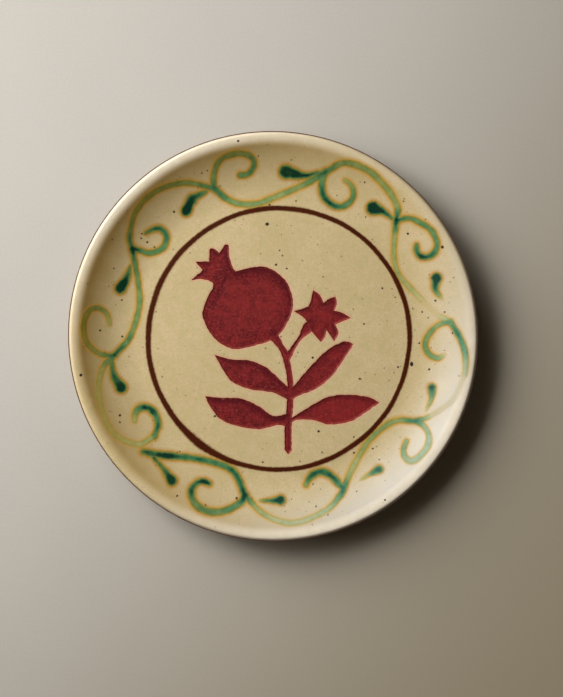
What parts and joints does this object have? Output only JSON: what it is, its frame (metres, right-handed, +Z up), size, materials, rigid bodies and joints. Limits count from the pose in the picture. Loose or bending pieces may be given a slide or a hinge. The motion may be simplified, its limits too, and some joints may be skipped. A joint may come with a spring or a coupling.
{
  "type": "hand painted ceramic plate",
  "caption": "Round shallow ceramic plate on a foot ring, with a carved red fruit and leaf motif, a brown ring line and a green painted vine border.",
  "frame": {"origin": "on the surface that the plate stands on, under the plate's centre", "axes": "+Z up out of the dish, +Y towards the top of the painted plant, +X to its right"},
  "size_m": [0.26, 0.26, 0.0252],
  "materials": {
    "bare_clay": "unglazed, iron speckled, matt and slightly gritty",
    "cream_glaze": "semi-gloss cream glaze with fine iron specks, paler where it breaks over the lip",
    "back_glaze": "thinner satin cream glaze over the back, clay showing through",
    "lip_brown": "purple-brown clay showing where the glaze runs off the edge",
    "iron_brown": "very dark brown iron oxide under a glossy glaze",
    "red_slip": "satin mottled crimson slip in a carved recess, darker at its edges",
    "copper_green": "copper green brushwork, bled to olive and ochre at its edges, glossy"
  },
  "bodies": {
    "root": {"clay_body": "bare_clay", "foot_ring": "bare_clay", "face_glaze": "cream_glaze", "back_glaze": "back_glaze", "recess_glaze": "back_glaze", "lip_line": "lip_brown", "ring_line": "iron_brown", "red_crown": "red_slip", "red_fruit": "red_slip", "red_stem": "red_slip", "red_blossom": "red_slip", "red_leaf_upper_left": "red_slip", "red_leaf_lower_left": "red_slip", "red_leaf_upper_right": "red_slip", "red_leaf_lower_right": "red_slip", "vine_top_left": "copper_green", "vine_top": "copper_green", "vine_top_right": "copper_green", "vine_right_upper": "copper_green", "vine_right": "copper_green", "vine_right_lower": "copper_green", "vine_bottom": "copper_green", "vine_bottom_left": "copper_green", "vine_left_upper": "copper_green", "vine_left_lower": "copper_green", "curl_left_upper": "copper_green", "curl_top_left": "copper_green", "curl_top_right": "copper_green", "curl_right_upper": "copper_green", "curl_right": "copper_green", "curl_right_lower": "copper_green", "curl_bottom_right": "copper_green", "curl_bottom_left": "copper_green", "curl_left_lower": "copper_green", "curl_left": "copper_green", "drop_left_upper": "copper_green", "drop_top_left": "copper_green", "drop_top": "copper_green", "drop_right_upper": "copper_green", "drop_right": "copper_green", "drop_right_lower": "copper_green", "drop_bottom_right": "copper_green", "drop_bottom": "copper_green", "drop_bottom_left": "copper_green", "drop_left": "copper_green"}
  },
  "joints": []
}
